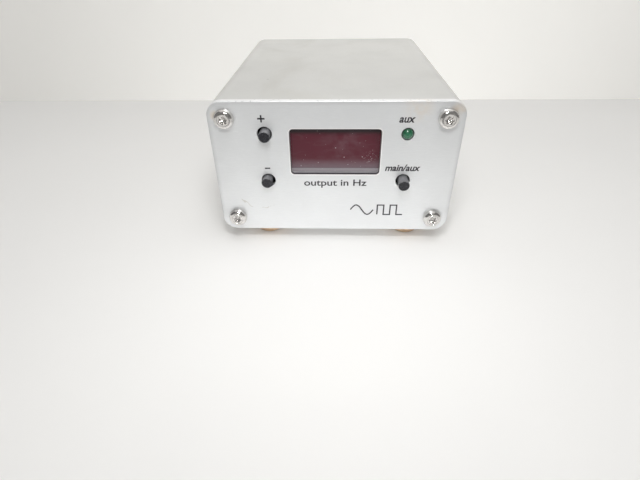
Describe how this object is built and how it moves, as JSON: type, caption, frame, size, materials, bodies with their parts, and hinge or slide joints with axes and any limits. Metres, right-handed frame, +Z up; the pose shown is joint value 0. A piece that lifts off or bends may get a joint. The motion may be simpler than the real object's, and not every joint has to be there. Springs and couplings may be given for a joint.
{
  "type": "function generator",
  "caption": "Small bench function generator in a rounded aluminium case, with a dark red number window, push buttons and a lamp on the front and sockets and a rocker switch on the back.",
  "frame": {"origin": "centre of the footprint, buttons and connectors included, on the surface that the feet stand on", "axes": "+X to the right seen from the front, +Y from the front plate to the back, +Z up"},
  "size_m": [0.1, 0.143, 0.0645],
  "materials": {
    "board_green": "green solder mask on glass-fibre board",
    "bracket_aluminium": "bent plain aluminium",
    "cap_black": "smooth black moulding",
    "case_aluminium": "satin natural anodised extrusion",
    "chip_black": "black epoxy package",
    "contact_gold": "gilt",
    "display_black": "black moulded display face",
    "film_red": "red dipped case",
    "foot_rubber": "tan moulded rubber",
    "insulator_white": "white insulator",
    "lamp_green": "green tinted clear resin",
    "lead_insulation": "black insulation",
    "moulding_black": "black moulding",
    "nickel_plate": "bright nickel plate",
    "plate_aluminium": "fine satin anodised plate with printed legends",
    "plunger_white": "white moulding",
    "resistor_blue": "pale blue lacquer",
    "rocker_black": "semi-gloss moulding",
    "screw_steel": "bright plated steel",
    "segment_white": "pale diffusing bars, unlit",
    "sink_black": "black anodised",
    "sleeve_blue": "dark blue sleeve",
    "spring_steel": "drawn wire",
    "tape_black": "black foam tape",
    "tinned_pins": "tinned",
    "trimmer_blue": "blue moulding",
    "window_acrylic": "dark red tinted acrylic"
  },
  "bodies": {
    "case": {"board_brackets": "bracket_aluminium", "board_link_body": "moulding_black", "board_link_pins": "tinned_pins", "bracket_screws": "screw_steel", "case_tube": "case_aluminium", "clock_crystal": "nickel_plate", "connector_blocks": "moulding_black", "connector_contacts": "contact_gold", "connector_insulators": "insulator_white", "connector_nuts": "nickel_plate", "connector_washers": "nickel_plate", "control_board": "board_green", "decrease_return_spring": "spring_steel", "decrease_switch_body": "moulding_black", "display_driver": "chip_black", "display_module": "display_black", "display_pins": "tinned_pins", "display_segments": "segment_white", "display_window": "window_acrylic", "display_window_tape": "tape_black", "electrolytic_capacitors": "sleeve_blue", "external_source_lamp": "lamp_green", "external_source_lamp_leads": "tinned_pins", "film_capacitors": "film_red", "foot_front_left": "foot_rubber", "foot_front_right": "foot_rubber", "foot_rear_left": "foot_rubber", "foot_rear_right": "foot_rubber", "front_panel": "plate_aluminium", "front_panel_screws": "screw_steel", "heat_sink": "sink_black", "increase_return_spring": "spring_steel", "increase_switch_body": "moulding_black", "lamp_spacer": "moulding_black", "level_trimmer": "trimmer_blue", "main_board": "board_green", "microcontroller": "chip_black", "output_connector_shell": "nickel_plate", "output_driver": "chip_black", "power_jack_body": "moulding_black", "power_jack_contact": "nickel_plate", "power_switch_body": "moulding_black", "power_switch_leads": "lead_insulation", "power_switch_terminals": "tinned_pins", "rear_panel": "plate_aluminium", "rear_panel_screws": "screw_steel", "regulator_screw": "screw_steel", "resistors": "resistor_blue", "source_return_spring": "spring_steel", "source_switch_body": "moulding_black", "switch_pins": "tinned_pins", "trigger_connector_shell": "nickel_plate", "voltage_regulator": "chip_black"},
    "increase_button": {"increase_button_cap": "cap_black", "increase_button_plunger": "plunger_white"},
    "decrease_button": {"decrease_button_cap": "cap_black", "decrease_button_plunger": "plunger_white"},
    "source_button": {"source_button_cap": "cap_black", "source_button_plunger": "plunger_white"},
    "power_rocker": {"power_rocker": "rocker_black"}
  },
  "joints": [
    {"name": "increase_button_press", "type": "slide", "parent": "case", "child": "increase_button", "axis": [0, 1, 0], "range_m": [0, 0.002], "stiffness_N_per_m": 500, "springref_m": -0.0008, "deforming": ["increase_return_spring"]},
    {"name": "decrease_button_press", "type": "slide", "parent": "case", "child": "decrease_button", "axis": [0, 1, 0], "range_m": [0, 0.002], "stiffness_N_per_m": 500, "springref_m": -0.0008, "deforming": ["decrease_return_spring"]},
    {"name": "source_button_press", "type": "slide", "parent": "case", "child": "source_button", "axis": [0, 1, 0], "range_m": [0, 0.002], "stiffness_N_per_m": 500, "springref_m": -0.0008, "deforming": ["source_return_spring"]},
    {"name": "power_rocker_tilt", "type": "hinge", "parent": "case", "child": "power_rocker", "pos_m": [-0.03, 0.057, 0.046], "axis": [1, 0, 0], "range_deg": [0, 20]}
  ]
}
